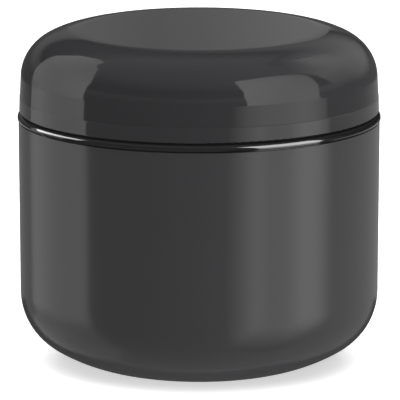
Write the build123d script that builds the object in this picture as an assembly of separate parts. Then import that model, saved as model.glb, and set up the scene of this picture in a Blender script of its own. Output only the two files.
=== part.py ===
from build123d import *
import math
import os

# Round-base double-wall screw-top jar, nominal 8 fl oz (240 ml), with an 89-400 neck.
# Millimetres and degrees. Z runs up the jar's axis, and the origin is where that axis meets the surface it stands on.
# Outlines are drawn as (radius, height) and turned about the axis.

# Outer shell of the jar
BODY_R = 48.5  # at the foot of the wall
WALL_FOOT_Z = 21.2
SEAM_R = 48.95  # at the top of the wall, which leans out a little
SEAM_Z = 68.3
SEAM_ROUND = 0.15
BASE_LOWER_R = 46.0  # the base's slow curve, next to the foot
BASE_LOWER_TURN = 31.0  # how far it turns before the tighter corner starts
BASE_CORNER_R = 17.3
SHELL_WALL = 1.8
RECESS_R = 13.5  # hollow under the foot
RECESS_DEPTH = 0.6
GATE_R = 2.0
GATE_DEPTH = 0.35

# Plug and socket between the cup and the shell
SOCKET_R = 46.6
SOCKET_Z = 61.0
PLUG_WALL = 1.45
PLUG_Z = 61.8
PLUG_GAP = 0.05
SNAP_R = 0.45
SNAP_Z = 64.4
KEY_COUNT = 6
KEY_WIDTH = 2.0
KEY_DEPTH = 0.9
KEY_TOP_Z = 63.4
KEY_SLACK = 0.15

# Inner cup
FLANGE_Z = 70.3
BEAD_R = 49.2
BEAD_UPPER_ROUND = 1.3
BEAD_LOWER_ROUND = 0.12
BEAD_UNDER_Z = 68.65  # a narrow gap is left between the bead and the wall under it
BEAD_SEAT_R = 48.2  # the flange rests on the wall from here inwards
RIM_Z = 83.0
RIM_ROUND = 0.5
MOUTH_R = 41.5
NECK_R = 43.3
CUP_WALL = 1.6
CUP_DRAFT = 5.0
CUP_FLOOR_Z = 24.0
CUP_CORNER_R = 20.0

# Screw thread, single start and right-handed, 5 turns to the inch
PITCH = 25.4 / 5
NECK_CREST_R = 44.6
NECK_THREAD_Z = 74.6  # middle of the neck's ridge where it starts, at angle 0
NECK_THREAD_WIDTH = 2.2
CAP_CREST_R = 43.9
CAP_THREAD_WIDTH = 2.0
CAP_THREAD_START = 60.0
CAP_THREAD_DROP = 2.45  # from the middle of the neck's ridge down to the middle of the cap's
CREST_WIDTH = 0.9
THREAD_END = 450.0
THREAD_ROOT_SINK = 0.4  # how far a ridge is sunk into the wall that carries it
RUNOUT = 16.0  # a ridge slopes off over this angle at each end

# Stack under the lid: sealing disc on the rim, then the foam liner, then the cap's panel
REST_GAP = 0.1
DISC_FLANGE = 0.8
DISC_DROP = 1.9  # how far the dish's underside hangs below the flange
DISC_SKIN = 0.8
LINER_THICK = 1.2
DISH_Z = RIM_Z + REST_GAP - DISC_DROP + DISC_SKIN
LINER_Z = RIM_Z + REST_GAP + DISC_FLANGE + REST_GAP

# Sealing disc and its pull tab
DISC_R = 43.1
DISC_PLUG_R = 41.2
DISC_ROUND = 0.4
DISC_RIDGE_R = 32.0
DISC_RIDGE = 0.5
TAB_WIDTH = 24.0
TAB_LENGTH = 17.0
TAB_THICK = 0.7
TAB_CORNER = 7.0
TAB_BAND = 4.5
TAB_EDGE_LAND = 0.02
TAB_HINGE_Y = 8.0
TAB_GAP = 0.12
HINGE_ROOT_DEPTH = 1.4

# Lid: outer shell
LID_FOOT_R = 48.74
LID_FOOT_Z = 70.8
LID_FOOT_ROUND = 0.3
LID_LINE_R = 48.58  # a fine line runs round the skirt here, where its draft changes
LID_LINE_Z = 74.9
LID_LINE_STEP = 0.08
LID_SHOULDER_R = 48.33
LID_LEAN = 3.0  # draft of the skirt's upper part
LID_HEIGHT = 93.0
LID_WALL = 1.6
SHOULDER_R = 11.9
SHOULDER_TURN = 64.1  # how far above the horizontal the shoulder faces where the slower crown takes over
CROWN_R = 23.3
LID_BORE_R = LID_SHOULDER_R - LID_WALL * math.cos(math.radians(LID_LEAN))
RETAIN_R = 0.35  # snap bead that keeps the insert in

# Lid: threaded insert and liner
LINER_R = 43.9
LINER_BEAD = 0.35
CAP_SEAT_R = 44.2
SEAT_DEPTH = 0.8
CAP_ROOT_R = 44.95
CAP_R = 45.9
CAP_FOOT_Z = 71.8
CAP_CORNER_Z = 84.0
CAP_TOP_R = 44.1
CAP_PANEL = 1.4
RIB_COUNT = 36
RIB_WIDTH = 1.0
RIB_SINK = 0.3
RIB_FOOT_Z = 72.2
RIB_TOP_Z = 80.2


def lathe(*outline):
    """Turn a closed outline of (radius, height) curves about the axis."""
    return revolve(Plane.XZ * make_face(Curve() + list(outline)), Axis.Z)


def ring(inner_r, outer_r, low_z, high_z):
    """Plain ring, or a disc when inner_r is 0."""
    return lathe(Polyline((inner_r, low_z), (outer_r, low_z), (outer_r, high_z), (inner_r, high_z), close=True))


def under_curve(*side):
    """Solid between the axis and a side outline that runs from its foot up to its top, closed flat at both ends."""
    foot, top = side[0] @ 0, side[-1] @ 1
    return lathe(Line((0, foot.Y), foot), *side, Polyline(top, (0, top.Y), (0, foot.Y)))


def bead(middle_r, middle_z, radius):
    """Round bead, or the cutter for a round groove, that runs round the axis."""
    return Pos(0, 0, middle_z) * Torus(middle_r, radius)


def spokes(count, middle_r, low_z, high_z, depth, width):
    """Upright blocks spaced evenly round the axis."""
    places = Pos(0, 0, (low_z + high_z) / 2) * PolarLocations(middle_r, count)
    return [place * Box(depth, width, high_z - low_z) for place in places]


def polar(radius, angle):
    """Point in plan at a radius and an angle in degrees."""
    return radius * math.cos(math.radians(angle)), radius * math.sin(math.radians(angle))


def run_out(root_r, crest_r, middle_z, end, inwards):
    """Cutter that slopes a ridge off, from its crest at angle inwards down to its root at angle end."""
    clear = root_r + 4 * (crest_r - root_r)
    past_end = end + (end - inwards) / 2
    plan = Polyline(
        polar(crest_r, inwards),
        polar(root_r, end),
        polar(root_r, past_end),
        polar(clear, past_end),
        polar(clear, inwards),
        close=True,
    )
    return Pos(0, 0, middle_z - PITCH / 2) * extrude(make_face(plan), PITCH)


def thread(root_r, crest_r, root_width, first_z, start, end):
    """One helical ridge from angle start to angle end, sloped off at both ends."""
    root = root_r - math.copysign(THREAD_ROOT_SINK, crest_r - root_r)
    section = Polyline(
        (root, -root_width / 2),
        (crest_r, -CREST_WIDTH / 2),
        (crest_r, CREST_WIDTH / 2),
        (root, root_width / 2),
        close=True,
    )
    start_z, end_z = first_z + PITCH * start / 360, first_z + PITCH * end / 360
    ridge = sweep(Plane.XZ * make_face(section), path=Helix(PITCH, end_z - start_z, root_r), is_frenet=True)
    ridge = Pos(0, 0, start_z) * Rot(0, 0, start) * ridge
    ridge -= run_out(root_r, crest_r, start_z, start, start + RUNOUT)
    return ridge - run_out(root_r, crest_r, end_z, end, end - RUNOUT)


def shell_side(inset):
    """The outer shell's side, from the foot's edge up to the seam, moved inwards by inset."""
    turn = math.sin(math.radians(BASE_LOWER_TURN))
    foot_r = BODY_R - BASE_LOWER_R * turn - BASE_CORNER_R * (1 - turn)
    lean = math.degrees(math.atan((SEAM_R - BODY_R) / (SEAM_Z - WALL_FOOT_Z)))
    lower = JernArc((foot_r, inset), (1, 0), BASE_LOWER_R - inset, BASE_LOWER_TURN)
    corner = JernArc(lower @ 1, lower % 1, BASE_CORNER_R - inset, 90 - lean - BASE_LOWER_TURN)
    return lower, corner, Line(corner @ 1, (SEAM_R - inset, SEAM_Z))


def outer_shell():
    """Outer wall of the jar, open at the top, with a socket there for the cup's plug."""
    body = under_curve(*shell_side(0))
    body = fillet(body.edges().sort_by(Axis.Z)[-1], SEAM_ROUND)
    body -= under_curve(*shell_side(SHELL_WALL)) & ring(0, BODY_R, 0, SOCKET_Z)
    body -= ring(0, SOCKET_R, SOCKET_Z, SEAM_Z)
    body -= bead(SOCKET_R, SNAP_Z, SNAP_R + PLUG_GAP)
    body -= ring(0, RECESS_R, 0, RECESS_DEPTH)
    body -= ring(0, GATE_R, RECESS_DEPTH, RECESS_DEPTH + GATE_DEPTH)
    key_band = ring(SOCKET_R - KEY_DEPTH, SOCKET_R + KEY_DEPTH / 2, SOCKET_Z, KEY_TOP_Z)
    for block in spokes(KEY_COUNT, SOCKET_R, SOCKET_Z, KEY_TOP_Z, 3 * KEY_DEPTH, KEY_WIDTH):
        body += key_band & block
    return body


def cup_side(outset):
    """The cup's side below the flange, from its floor's edge upwards, moved outwards by outset."""
    draft = math.radians(CUP_DRAFT)
    wall_height = FLANGE_Z - CUP_FLOOR_Z - CUP_CORNER_R * (1 - math.sin(draft))
    floor_r = MOUTH_R - CUP_CORNER_R * math.cos(draft) - wall_height * math.tan(draft)
    corner = JernArc((floor_r, CUP_FLOOR_Z - outset), (1, 0), CUP_CORNER_R + outset, 90 - CUP_DRAFT)
    return corner, Line(corner @ 1, (MOUTH_R + outset / math.cos(draft), FLANGE_Z))


def inner_cup():
    """Cup with its threaded neck, the flange that shows as a bead round the jar, and the plug under the flange."""
    bead_top = JernArc((BEAD_R - BEAD_UPPER_ROUND, FLANGE_Z), (1, 0), BEAD_UPPER_ROUND, -90)
    bead_side = Line(bead_top @ 1, (BEAD_R, BEAD_UNDER_Z + BEAD_LOWER_ROUND))
    bead_foot = JernArc(bead_side @ 1, (0, -1), BEAD_LOWER_ROUND, -90)
    flange_back = Polyline(
        bead_foot @ 1,
        (BEAD_SEAT_R, BEAD_UNDER_Z),
        (BEAD_SEAT_R, SEAM_Z),
        (0, SEAM_Z),
        (0, FLANGE_Z),
        bead_top @ 0,
    )
    neck = ring(0, NECK_R, SEAM_Z, RIM_Z)
    cup = under_curve(*cup_side(CUP_WALL)) + lathe(bead_top, bead_side, bead_foot, flange_back) + neck
    cup = fillet(cup.edges().sort_by(Axis.Z)[-1], RIM_ROUND)
    cup -= under_curve(*cup_side(0)) + ring(0, MOUTH_R, FLANGE_Z, RIM_Z)
    plug_r = SOCKET_R - PLUG_GAP
    plug = ring(plug_r - PLUG_WALL, plug_r, PLUG_Z, SEAM_Z) + bead(plug_r, SNAP_Z, SNAP_R)
    slot_top = KEY_TOP_Z + KEY_SLACK
    for slot in spokes(KEY_COUNT, plug_r, PLUG_Z, slot_top, 4 * PLUG_WALL, KEY_WIDTH + 2 * KEY_SLACK):
        plug -= slot
    return cup + plug + thread(NECK_R, NECK_CREST_R, NECK_THREAD_WIDTH, NECK_THREAD_Z, 0, THREAD_END)


def sealing_disc():
    """Dished disc whose flange lies on the rim, with the raised root of its pull tab's living hinge."""
    flange_z = RIM_Z + REST_GAP
    plug = ring(0, DISC_PLUG_R, flange_z - DISC_DROP, flange_z)
    plug = fillet(plug.edges().sort_by(Axis.Z)[0], DISC_ROUND)
    disc = plug + ring(0, DISC_R, flange_z, flange_z + DISC_FLANGE)
    disc -= ring(0, DISC_PLUG_R - DISC_SKIN, DISH_Z, flange_z + DISC_FLANGE)
    disc += ring(DISC_RIDGE_R, DISC_RIDGE_R + DISC_RIDGE, DISH_Z, DISH_Z + DISC_RIDGE)
    root_height = TAB_GAP + TAB_THICK
    root_y = TAB_HINGE_Y + TAB_THICK / 2 + TAB_GAP + HINGE_ROOT_DEPTH / 2
    root = Box(TAB_WIDTH - 2 * TAB_CORNER, HINGE_ROOT_DEPTH, root_height)
    return disc + Pos(0, root_y, DISH_Z + root_height / 2) * root


def disc_tab():
    """Pull tab with a finger hole, lying flat in the disc's dish. Its hinge edge is rounded about the fold's axis."""
    outer = RectangleRounded(TAB_WIDTH, TAB_LENGTH, TAB_CORNER)
    hole = RectangleRounded(TAB_WIDTH - 2 * TAB_BAND, TAB_LENGTH - 2 * TAB_BAND, TAB_CORNER - TAB_BAND)
    middle_y = TAB_HINGE_Y + TAB_THICK / 2 - TAB_LENGTH / 2
    tab = Pos(0, middle_y, DISH_Z + TAB_GAP) * extrude(outer - hole, TAB_THICK)
    hinge_edges = tab.edges().filter_by(Axis.X).group_by(Axis.Y)[-1]
    return fillet(hinge_edges, TAB_THICK / 2 - TAB_EDGE_LAND)


def foam_liner():
    """Plain foam disc that fills the cap's seat above the rim."""
    return ring(0, LINER_R, LINER_Z, LINER_Z + LINER_THICK)


def lid_inner_cap():
    """Threaded insert of the lid, held in the outer lid by ribs and by its sloped top corner."""
    panel_z = LINER_Z + LINER_THICK + REST_GAP
    seat_z = LINER_Z - SEAT_DEPTH
    cap = lathe(
        Polyline(
            (CAP_ROOT_R, CAP_FOOT_Z),
            (CAP_R, CAP_FOOT_Z),
            (CAP_R, CAP_CORNER_Z),
            (CAP_TOP_R, panel_z + CAP_PANEL),
            (0, panel_z + CAP_PANEL),
            (0, panel_z),
            (CAP_SEAT_R, panel_z),
            (CAP_SEAT_R, seat_z),
            (CAP_ROOT_R, seat_z - (CAP_ROOT_R - CAP_SEAT_R)),
            close=True,
        )
    )
    cap += bead(CAP_SEAT_R, LINER_Z - REST_GAP / 2 - LINER_BEAD, LINER_BEAD)
    rib_band = ring(CAP_R - RIB_SINK, LID_BORE_R, RIB_FOOT_Z, RIB_TOP_Z)
    for block in spokes(RIB_COUNT, CAP_R, RIB_FOOT_Z, RIB_TOP_Z, 4 * (LID_BORE_R - CAP_R), RIB_WIDTH):
        cap += rib_band & block
    middle_z = NECK_THREAD_Z - CAP_THREAD_DROP
    return cap + thread(CAP_ROOT_R, CAP_CREST_R, CAP_THREAD_WIDTH, middle_z, CAP_THREAD_START, THREAD_END)


def lid_dome(inset):
    """The lid's shoulder and crown, from the top of the skirt to the flat top, moved inwards by inset."""
    lean = math.radians(LID_LEAN)
    turn = math.sin(math.radians(SHOULDER_TURN))
    rise = SHOULDER_R * (turn - math.sin(lean)) + CROWN_R * (1 - turn)
    start = (LID_SHOULDER_R - inset * math.cos(lean), LID_HEIGHT - rise - inset * math.sin(lean))
    shoulder = JernArc(start, (-math.sin(lean), math.cos(lean)), SHOULDER_R - inset, SHOULDER_TURN - LID_LEAN)
    return shoulder, JernArc(shoulder @ 1, shoulder % 1, CROWN_R - inset, 90 - SHOULDER_TURN)


def lid_shell():
    """Smooth domed outer lid, with a straight bore inside for the threaded insert."""
    shoulder, crown = lid_dome(0)
    skirt = Polyline(
        (LID_FOOT_R, LID_FOOT_Z),
        (LID_LINE_R + LID_LINE_STEP, LID_LINE_Z),
        (LID_LINE_R, LID_LINE_Z + LID_LINE_STEP),
        shoulder @ 0,
    )
    shell = under_curve(skirt, shoulder, crown)
    shell = fillet(shell.edges().sort_by(Axis.Z)[0], LID_FOOT_ROUND)
    inner_shoulder, inner_crown = lid_dome(LID_WALL)
    shell -= under_curve(Line((LID_BORE_R, LID_FOOT_Z), inner_shoulder @ 0), inner_shoulder, inner_crown)
    return shell + bead(LID_BORE_R, CAP_FOOT_Z - RETAIN_R - REST_GAP / 2, RETAIN_R)


PIECES = (outer_shell, inner_cup, sealing_disc, disc_tab, foam_liner, lid_inner_cap, lid_shell)

os.makedirs("parts", exist_ok=True)
for piece in PIECES:
    export_step(piece(), f"parts/{piece.__name__}.step")
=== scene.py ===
import math

import bpy
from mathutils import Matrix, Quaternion, Vector


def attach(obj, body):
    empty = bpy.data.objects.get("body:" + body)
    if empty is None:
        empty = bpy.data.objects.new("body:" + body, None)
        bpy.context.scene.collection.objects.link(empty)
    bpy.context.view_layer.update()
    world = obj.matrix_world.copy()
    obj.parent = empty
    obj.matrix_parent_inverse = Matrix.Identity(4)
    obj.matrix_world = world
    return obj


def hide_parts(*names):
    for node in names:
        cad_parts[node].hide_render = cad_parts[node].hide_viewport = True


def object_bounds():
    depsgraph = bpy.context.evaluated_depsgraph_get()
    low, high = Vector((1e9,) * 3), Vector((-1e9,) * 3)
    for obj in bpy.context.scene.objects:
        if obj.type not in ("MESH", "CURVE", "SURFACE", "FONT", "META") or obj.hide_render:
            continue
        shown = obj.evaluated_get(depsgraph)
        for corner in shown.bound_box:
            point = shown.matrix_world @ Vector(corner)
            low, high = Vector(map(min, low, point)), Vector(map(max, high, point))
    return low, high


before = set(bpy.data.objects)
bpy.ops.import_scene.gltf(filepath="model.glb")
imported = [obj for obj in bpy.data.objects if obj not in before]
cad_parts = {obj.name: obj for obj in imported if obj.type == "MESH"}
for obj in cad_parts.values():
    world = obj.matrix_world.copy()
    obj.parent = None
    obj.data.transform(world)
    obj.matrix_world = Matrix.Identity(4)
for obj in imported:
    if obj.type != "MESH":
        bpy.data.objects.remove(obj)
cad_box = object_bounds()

# Sizes in metres, angles in degrees. Azimuth 0 is the side that the camera stands on,
# and it grows towards +X.
LOW, HIGH = cad_box


def aim(azimuth, elevation):
    """Unit vector from the jar towards a place in the studio."""
    a, e = math.radians(azimuth), math.radians(elevation)
    return Vector((math.sin(a) * math.cos(e), -math.cos(a) * math.cos(e), math.sin(e)))


def point_at(obj, place, target):
    obj.location = place
    obj.rotation_euler = (target - place).to_track_quat("-Z", "Y").to_euler()


# Materials


def plastic(name, colour, roughness, ior=1.5, grain=0.0, scale=400.0, **sockets):
    """Moulded plastic: colour and roughness that vary very slightly together, and a fine skin."""
    mat = bpy.data.materials.new(name)
    mat.use_nodes = True
    nodes, links = mat.node_tree.nodes, mat.node_tree.links
    shader = nodes["Principled BSDF"]
    shader.inputs["IOR"].default_value = ior
    for socket, value in sockets.items():
        shader.inputs[socket.replace("_", " ")].default_value = value
    where = nodes.new("ShaderNodeTexCoord")
    cloud = nodes.new("ShaderNodeTexNoise")
    cloud.inputs["Scale"].default_value = 22.0
    cloud.inputs["Detail"].default_value = 3.0
    links.new(where.outputs["Object"], cloud.inputs["Vector"])
    tint = nodes.new("ShaderNodeValToRGB")
    tint.color_ramp.elements[0].color = [0.92 * c for c in colour] + [1]
    tint.color_ramp.elements[1].color = [1.08 * c for c in colour] + [1]
    links.new(cloud.outputs["Fac"], tint.inputs["Fac"])
    links.new(tint.outputs["Color"], shader.inputs["Base Color"])
    rough = nodes.new("ShaderNodeMapRange")
    rough.inputs["To Min"].default_value = roughness * 0.85
    rough.inputs["To Max"].default_value = roughness * 1.15
    links.new(cloud.outputs["Fac"], rough.inputs["Value"])
    links.new(rough.outputs["Result"], shader.inputs["Roughness"])
    if grain:
        skin = nodes.new("ShaderNodeTexNoise")
        skin.inputs["Scale"].default_value = scale
        skin.inputs["Detail"].default_value = 2.0
        links.new(where.outputs["Object"], skin.inputs["Vector"])
        bump = nodes.new("ShaderNodeBump")
        bump.inputs["Strength"].default_value = 1.0
        bump.inputs["Distance"].default_value = grain
        links.new(skin.outputs["Fac"], bump.inputs["Height"])
        links.new(bump.outputs["Normal"], shader.inputs["Normal"])
    return mat


SHELL_BLACK = plastic("shell_gloss_black", (0.040, 0.040, 0.042), 0.17, grain=1.5e-6, scale=300.0)
LID_BLACK = plastic("lid_gloss_black", (0.034, 0.034, 0.036), 0.06, grain=0.8e-6, scale=300.0)
CUP_BLACK = plastic("cup_gloss_black", (0.022, 0.022, 0.023), 0.09)
CAP_BLACK = plastic("cap_satin_black", (0.03, 0.03, 0.032), 0.4, grain=8e-6, scale=1500.0)
DISC_WHITE = plastic(
    "disc_natural", (0.8, 0.82, 0.82), 0.35, grain=4e-6, scale=900.0,
    Subsurface_Weight=0.3, Subsurface_Scale=0.002, Subsurface_Radius=(1.0, 1.0, 1.0),
)
FOAM_WHITE = plastic("liner_foam", (0.85, 0.85, 0.83), 0.7, grain=1.5e-4, scale=2200.0)

FINISH = {
    "outer_shell": SHELL_BLACK,
    "lid_shell": LID_BLACK,
    "inner_cup": CUP_BLACK,
    "lid_inner_cap": CAP_BLACK,
    "sealing_disc": DISC_WHITE,
    "disc_tab": DISC_WHITE,
    "foam_liner": FOAM_WHITE,
}
for node, mat in FINISH.items():
    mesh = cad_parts[node].data
    mesh.materials.clear()
    mesh.materials.append(mat)

# The inner cup, turned finely enough for the sharp light along its flange bead

MM = 0.001
CUP_CORNER_CENTRE = (19.123, 44.0)
NECK_R = 43.3
CREST_R = 44.6
THREAD_ROOT_R = 42.9
ROOT_HALF = 1.1
CREST_HALF = 0.45
PITCH = 5.08
THREAD_Z = 74.6
THREAD_TURN = 450
RUNOUT = 16


def arc(centre, radius, start, end, steps):
    """Points of an arc in the outline's plane."""
    angles = [math.radians(start + (end - start) * k / steps) for k in range(steps + 1)]
    return [(centre[0] + radius * math.cos(a), centre[1] + radius * math.sin(a)) for a in angles]


def lathe(outline, start=0.0, end=360.0, segments=360):
    """Vertices and faces of an outline of (radius, height) in mm turned about the axis."""
    whole = end - start == 360
    turns = segments if whole else segments + 1
    verts = [
        (r * MM * math.cos(a), r * MM * math.sin(a), z * MM)
        for a in (math.radians(start + (end - start) * k / segments) for k in range(turns))
        for r, z in outline
    ]
    n = len(outline)
    faces = [
        (k * n + i, (k + 1) % turns * n + i, (k + 1) % turns * n + (i + 1) % n, k * n + (i + 1) % n)
        for k in range(segments)
        for i in range(n)
    ]
    if not whole:
        faces += [tuple(range(n)), tuple(reversed(range((turns - 1) * n, turns * n)))]
    return verts, faces


def neck_thread():
    """Vertices and faces of the neck's helical ridge, sloped off at both ends."""
    rings, step = [], 2
    for angle in range(0, THREAD_TURN + 1, step):
        inwards = min(angle, THREAD_TURN - angle)
        crest = CREST_R
        if inwards < RUNOUT:
            to_root, to_crest = math.sin(math.radians(RUNOUT - inwards)), math.sin(math.radians(inwards))
            crest = math.sin(math.radians(RUNOUT)) / (to_root / NECK_R + to_crest / CREST_R)
        half = ROOT_HALF + (CREST_HALF - ROOT_HALF) * (crest - THREAD_ROOT_R) / (CREST_R - THREAD_ROOT_R)
        section = [(THREAD_ROOT_R, -ROOT_HALF), (crest - 0.1, -half - 0.02), (crest - 0.02, -half + 0.05),
                   (crest, -half + 0.15), (crest, half - 0.15), (crest - 0.02, half - 0.05),
                   (crest - 0.1, half + 0.02), (THREAD_ROOT_R, ROOT_HALF)]
        a, z = math.radians(angle), THREAD_Z + PITCH * angle / 360
        rings.append([(r * MM * math.cos(a), r * MM * math.sin(a), (z + h) * MM) for r, h in section])
    n = len(rings[0])
    faces = [
        (k * n + i, (k + 1) * n + i, (k + 1) * n + (i + 1) % n, k * n + (i + 1) % n)
        for k in range(len(rings) - 1)
        for i in range(n)
    ]
    faces += [tuple(range(n)), tuple(reversed(range((len(rings) - 1) * n, len(rings) * n)))]
    return [v for ring in rings for v in ring], faces


CUP_OUTLINE = (
    [(0.0, 22.4)]
    + arc(CUP_CORNER_CENTRE, 21.6, -90, -5, 40)
    + [(42.931, 68.3), (45.1, 68.3), (45.1, 63.55), (46.55, 63.55)]
    + arc((46.55, 64.4), 0.45, -90, 90, 12)
    + [(46.55, 68.3), (48.2, 68.3), (48.2, 68.65)]
    + arc((49.08, 68.77), 0.12, -90, 0, 6)
    + arc((47.9, 69.0), 1.3, 0, 90, 36)
    + [(NECK_R, 70.3)]
    + arc((NECK_R - 0.5, 82.5), 0.5, 0, 90, 10)
    + [(41.5, 83.0), (41.5, 70.3)]
    + arc(CUP_CORNER_CENTRE, 20.0, -5, -90, 40)
    + [(0.0, 24.0)]
)
KEY_SLOTS = 6
SLOT_HALF_TURN = 1.44
PLUG_FOOT = [(45.1, 61.8), (46.55, 61.8), (46.55, 63.55), (45.1, 63.55)]

parts = [lathe(CUP_OUTLINE), neck_thread()]
for k in range(KEY_SLOTS):
    middle = 360 / KEY_SLOTS * (k + 0.5)
    reach = 180 / KEY_SLOTS - SLOT_HALF_TURN
    parts.append(lathe(PLUG_FOOT, middle - reach, middle + reach, 40))
verts, faces = [], []
for some_verts, some_faces in parts:
    faces += [tuple(i + len(verts) for i in face) for face in some_faces]
    verts += some_verts
mesh = bpy.data.meshes.new("cup")
mesh.from_pydata(verts, [], faces)
mesh.validate()
mesh.shade_smooth()
mesh.set_sharp_from_angle(angle=math.radians(28))
mesh.materials.append(CUP_BLACK)
cup = bpy.data.objects.new("cup", mesh)
bpy.context.scene.collection.objects.link(cup)
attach(cup, "jar")
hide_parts("inner_cup")
outside = list(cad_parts.values())
jar = [cup] + outside

# Studio

CAMERA_ELEVATION = 11.2
CAMERA_DISTANCE = 2.91
AIM_HEIGHT = 0.0459
AIM_SIDE = 0.00024
FRAME_WIDTH = 0.10848
SENSOR = 36.0

centre = Vector((AIM_SIDE, 0, AIM_HEIGHT))
camera = bpy.data.objects.new("camera", bpy.data.cameras.new("camera"))
bpy.context.scene.collection.objects.link(camera)
camera.data.sensor_width = SENSOR
camera.data.lens = SENSOR * CAMERA_DISTANCE / FRAME_WIDTH
camera.data.clip_end = 20
point_at(camera, centre + aim(0, CAMERA_ELEVATION) * CAMERA_DISTANCE, centre)
bpy.context.scene.camera = camera


def lit_only(light, *objs):
    """Light linking: the light reaches only these objects."""
    group = bpy.data.collections.new(light.name + "_receivers")
    for obj in objs:
        group.objects.link(obj)
    light.light_linking.receiver_collection = group


SOFTBOX_COLUMNS = 28


def softbox(name, rows, distance=8.0, only=(), **flags):
    """A glowing cloth, curved round the jar.

    Each row is an elevation and the (azimuth, radiance) of points along it.
    """
    verts, glows = [], []
    for elevation, points in rows:
        for k in range(SOFTBOX_COLUMNS + 1):
            t = k / SOFTBOX_COLUMNS * (len(points) - 1)
            i = min(int(t), len(points) - 2)
            (a0, r0), (a1, r1) = points[i], points[i + 1]
            verts.append(centre + aim(a0 + (a1 - a0) * (t - i), elevation) * distance)
            glows.append(r0 + (r1 - r0) * (t - i))
    faces = [
        (i, i + 1, i + SOFTBOX_COLUMNS + 2, i + SOFTBOX_COLUMNS + 1)
        for j in range(len(rows) - 1)
        for i in range(j * (SOFTBOX_COLUMNS + 1), j * (SOFTBOX_COLUMNS + 1) + SOFTBOX_COLUMNS)
    ]
    mesh = bpy.data.meshes.new(name)
    mesh.from_pydata(verts, [], faces)
    mesh.attributes.new("glow", "FLOAT", "POINT").data.foreach_set("value", glows)
    mat = bpy.data.materials.new(name)
    mat.use_nodes = True
    nodes, links = mat.node_tree.nodes, mat.node_tree.links
    nodes.remove(nodes["Principled BSDF"])
    glow = nodes.new("ShaderNodeEmission")
    level = nodes.new("ShaderNodeAttribute")
    level.attribute_name = "glow"
    links.new(level.outputs["Fac"], glow.inputs["Strength"])
    links.new(glow.outputs["Emission"], nodes["Material Output"].inputs["Surface"])
    mesh.materials.append(mat)
    obj = bpy.data.objects.new(name, mesh)
    bpy.context.scene.collection.objects.link(obj)
    obj.visible_camera = False
    obj.visible_shadow = False
    for flag, value in flags.items():
        setattr(obj, flag, value)
    if only:
        lit_only(obj, *only)
    return obj


def row(elevation, start, end, *radiances):
    """One row of a softbox, with its radiances spread evenly from one azimuth to the other."""
    step = (end - start) / (len(radiances) - 1)
    return elevation, [(start + step * k, r) for k, r in enumerate(radiances)]


# The radiances in these rows were set for the view from azimuth 0.
softbox(
    "left_softbox",
    [
        row(-62, -80, -134, 0.3, 0.35, 0.35, 0.3, 0.25),
        row(-45, -78, -146, 0.4, 0.4, 0.38, 0.33, 0.3),
        row(-32, -77, -152, 0.5, 0.5, 0.5, 0.45, 0.45),
        row(-22, -76, -150, 0.85, 0.75, 0.55, 0.4, 0.45),
        row(-17, -76, -135, 1.25, 1.05, 0.85, 0.6, 0.4),
        row(-13, -76, -136, 1.35, 1.05, 0.93, 0.95, 0.7),
        row(-9, -77, -137, 1.35, 1.05, 0.93, 0.9, 0.55),
        row(-5, -80, -137, 1.3, 1.1, 0.9, 0.75, 0.35),
        row(0, -79, -136, 1.65, 1.35, 1.0, 0.8, 0.5),
        row(12, -79, -138, 1.7, 1.35, 1.0, 0.8, 0.65),
        row(19, -80, -140, 1.7, 1.35, 1.0, 0.8, 0.6),
        row(25, -81, -144, 1.6, 1.3, 0.95, 0.75, 0.6),
        row(30, -82, -149, 1.5, 1.25, 0.95, 0.8, 0.65),
        row(35, -85, -152, 1.4, 1.2, 0.95, 0.8, 0.7),
        row(39, -88, -154, 1.3, 1.1, 0.95, 0.85, 0.75),
        row(44, -94, -153, 1.25, 1.05, 0.95, 0.85, 0.8),
        row(48, -101, -150, 1.15, 1.0, 0.95, 0.9, 0.8),
        row(52, -112, -144, 1.1, 1.0, 0.95, 0.9, 0.85),
    ],
    only=outside,
)
softbox(
    "right_softbox",
    [
        row(-62, 26, 78, 0.05, 0.05, 0.03, 0.0, 0.0),
        row(-45, 20, 82, 0.1, 0.6, 0.5, 0.45, 0.45, 0.35, 0.1),
        row(-30, 17, 90, 0.1, 0.85, 1.1, 0.85, 0.9, 1.0, 0.8, 0.4),
        row(-22, 15, 92, 0.05, 0.7, 1.5, 1.1, 1.2, 1.6, 1.3, 0.5),
        row(-10, 14, 93, 0.05, 0.75, 1.75, 1.1, 1.3, 2.2, 1.9, 0.7),
        row(-7, 20, 90, 0.1, 0.75, 1.05, 1.1, 1.2, 1.35, 1.1, 0.4),
        row(-2, 26, 85, 0.3, 1.1, 1.3, 1.35, 1.4, 1.5, 1.4, 1.1),
        row(1, 31, 83, 1.95, 1.8, 1.7, 1.6, 1.5, 1.5, 1.4, 1.3),
        row(14, 30, 85, 1.95, 1.85, 1.75, 1.6, 1.5, 1.5, 1.4, 1.3),
        row(20, 30, 87, 1.95, 1.85, 1.75, 1.6, 1.5, 1.4, 1.3, 1.2),
        row(31, 31, 90, 1.95, 1.85, 1.75, 1.6, 1.5, 1.35, 1.25, 1.1),
        row(42, 31, 95, 1.9, 1.8, 1.75, 1.6, 1.5, 1.3, 1.1, 0.9),
        row(46, 32, 95, 1.9, 1.8, 1.75, 1.6, 1.5, 1.3, 1.1, 0.9),
        row(51, 32, 91, 1.8, 1.75, 1.7, 1.6, 1.5, 1.35, 1.15, 1.0),
        row(55, 33, 84, 1.8, 1.75, 1.7, 1.6, 1.5, 1.4, 1.2, 1.1),
        row(58, 34, 76, 1.8, 1.75, 1.7, 1.6, 1.5, 1.4, 1.3, 1.2),
        row(60, 42, 64, 1.6, 1.6, 1.6, 1.55, 1.5, 1.45, 1.4, 1.3),
    ],
    only=outside,
)
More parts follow.
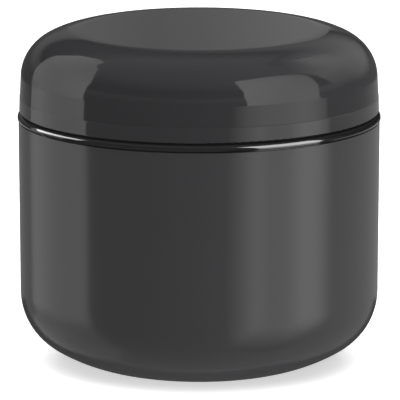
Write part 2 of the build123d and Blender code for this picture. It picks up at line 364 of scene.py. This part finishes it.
softbox(
    "right_rear_glow",
    [
        row(2, 108, 170, 0.02, 0.08, 0.15, 0.15, 0.05, 0.0),
        row(10, 104, 176, 0.25, 0.28, 0.42, 0.42, 0.25, 0.0),
        row(18, 98, 186, 0.48, 0.46, 0.5, 0.46, 0.26, 0.0),
        row(25, 98, 184, 0.6, 0.52, 0.56, 0.48, 0.25, 0.0),
        row(32, 98, 174, 0.8, 0.7, 0.7, 0.58, 0.3, 0.0),
        row(38, 99, 168, 0.7, 0.7, 0.75, 0.72, 0.5, 0.0),
        row(46, 99, 164, 0.5, 0.55, 0.7, 0.8, 0.6, 0.0),
        row(52, 98, 160, 0.3, 0.35, 0.4, 0.35, 0.25, 0.05),
        row(60, 94, 146, 0.1, 0.1, 0.1, 0.1, 0.05, 0.0),
    ],
    only=outside,
)
# The lid's flat top reflects this card behind the jar, and the foot's edge the dark sheet below it.
softbox(
    "rear_card",
    [
        row(13, 170, 190, 0.235, 0.285, 0.275, 0.235, 0.2, 0.175, 0.2, 0.215, 0.2),
        row(24, 170, 190, 0.195, 0.25, 0.235, 0.19, 0.15, 0.13, 0.16, 0.175, 0.165),
    ],
    distance=0.35,
    only=outside,
)
# Painted shade: this dark sheet stands in for the floor's shadow under the jar, as the foot's edge reflects
# it.
softbox(
    "rear_shade",
    [row(-55, 155, 208, 0.05, 0.05), row(-13, 155, 208, 0.05, 0.05)],
    only=outside,
)


def area(name, azimuth, elevation, distance, width, height, radiance, only=(), roll=0.0, **flags):
    """A rectangular light aimed at the jar. Its radiance is the same whatever its size."""
    light = bpy.data.lights.new(name, "AREA")
    light.shape = "RECTANGLE"
    light.size, light.size_y = width, height
    light.energy = radiance * math.pi * width * height
    obj = bpy.data.objects.new(name, light)
    bpy.context.scene.collection.objects.link(obj)
    point_at(obj, centre + aim(azimuth, elevation) * distance, centre)
    rolled = obj.rotation_euler.to_quaternion() @ Quaternion((0, 0, 1), math.radians(roll))
    obj.rotation_euler = rolled.to_euler()
    obj.visible_camera = False
    for flag, value in flags.items():
        setattr(obj, flag, value)
    if only:
        lit_only(obj, *only)
    return obj


FLOOR_SIZE = 5
FLOOR_DROP = 0.00005  # so that the foot's ring doesn't share the floor's plane
FLOOR_GLOW = 0.58

# The floor is a light table under its own wash of light, so it is white but for the soft
# shadow at the jar's foot.
floor_mesh = bpy.data.meshes.new("floor")
corners = [(x * FLOOR_SIZE, y * FLOOR_SIZE, 0) for x, y in ((-1, -1), (1, -1), (1, 1), (-1, 1))]
floor_mesh.from_pydata(corners, [], [(0, 1, 2, 3)])
floor = bpy.data.objects.new("floor", floor_mesh)
bpy.context.scene.collection.objects.link(floor)
floor.location.z = LOW.z - FLOOR_DROP
floor.visible_glossy = False
floor.visible_diffuse = False
floor.visible_shadow = False
paper = bpy.data.materials.new("paper")
paper.use_nodes = True
shader = paper.node_tree.nodes["Principled BSDF"]
shader.inputs["Base Color"].default_value = (0.9, 0.9, 0.9, 1)
shader.inputs["Roughness"].default_value = 1.0
shader.inputs["Specular IOR Level"].default_value = 0.0
shader.inputs["Emission Color"].default_value = (1, 1, 1, 1)
shader.inputs["Emission Strength"].default_value = FLOOR_GLOW
floor_mesh.materials.append(paper)

area("overhead_softbox", 0, 90, 1.2, 1.6, 1.6, 2.1, only=jar, visible_glossy=False)
area("bounce", 0, -90, 0.8, 2.4, 2.4, 1.3, only=jar, visible_glossy=False)
area("front_fill", 0, 11, 2.4, 1.0, 1.0, 2.2, only=jar, visible_glossy=False)
area("floor_wash", 0, 55, 1.6, 2.2, 2.2, 5.0, only=[floor])
# The flange bead is narrow and bright, so it has stronger lights of its own.
BEAD_LIGHT = {"only": [cup], "visible_diffuse": False}
area("left_bead_light", -107.5, 25, 1.0, 0.7, 0.4, 9.6, roll=26, **BEAD_LIGHT)
area("left_bead_glow", -112, 14, 0.95, 0.66, 0.8, 0.7, **BEAD_LIGHT)
area("left_bead_edge", -138, -11, 1.0, 0.8, 0.15, 0.45, **BEAD_LIGHT)
area("right_bead_light", 59, 27, 1.0, 0.85, 0.85, 8.0, **BEAD_LIGHT)
area("right_bead_glow", 59, 18, 0.9, 0.8, 1.15, 3.6, **BEAD_LIGHT)
area("right_bead_edge", 125, -11, 1.0, 1.2, 0.15, 0.38, **BEAD_LIGHT)
# This light casts no shadow, so it reaches the flange in the narrow gap under the lid.
gap_fill = area("gap_fill", 0, 80, 1.2, 1.0, 1.0, 2.0, only=[cup], visible_glossy=False)
gap_fill.data.use_shadow = False

world = bpy.data.worlds.new("studio")
bpy.context.scene.world = world
world.use_nodes = True
nodes, links = world.node_tree.nodes, world.node_tree.links
background = nodes["Background"]
where = nodes.new("ShaderNodeTexCoord")
split = nodes.new("ShaderNodeSeparateXYZ")
links.new(where.outputs["Generated"], split.inputs["Vector"])
ramp = nodes.new("ShaderNodeValToRGB")
height = nodes.new("ShaderNodeMapRange")
height.inputs["From Min"].default_value = -1.0
height.inputs["From Max"].default_value = 1.0
links.new(split.outputs["Z"], height.inputs["Value"])
links.new(height.outputs["Result"], ramp.inputs["Fac"])
SKY = [
    (-80, 0.15), (-50, 0.17), (-26, 0.19), (-15, 0.22), (-10.5, 0.25), (-8.2, 0.065), (4, 0.07), (9, 0.155),
    (15, 0.155), (18.5, 0.015), (35, 0.02), (52, 0.16),
]
while len(ramp.color_ramp.elements) < len(SKY):
    ramp.color_ramp.elements.new(0.5)
for element, (elevation, radiance) in zip(ramp.color_ramp.elements, SKY):
    element.position = 0.5 + 0.5 * math.sin(math.radians(elevation))
    element.color = (radiance, radiance, radiance, 1)
right = nodes.new("ShaderNodeMapRange")
right.inputs["To Min"].default_value = 1.0
right.inputs["To Max"].default_value = 2.0
right.inputs["From Min"].default_value = 0.0
right.inputs["From Max"].default_value = 1.0
links.new(split.outputs["X"], right.inputs["Value"])
links.new(ramp.outputs["Color"], background.inputs["Color"])
links.new(right.outputs["Result"], background.inputs["Strength"])
white = nodes.new("ShaderNodeBackground")
path = nodes.new("ShaderNodeLightPath")
pick = nodes.new("ShaderNodeMixShader")
links.new(path.outputs["Is Camera Ray"], pick.inputs["Fac"])
links.new(background.outputs["Background"], pick.inputs[1])
links.new(white.outputs["Background"], pick.inputs[2])
white.inputs["Color"].default_value = (1, 1, 1, 1)
links.new(pick.outputs["Shader"], nodes["World Output"].inputs["Surface"])

bpy.context.scene.view_settings.view_transform = "Standard"
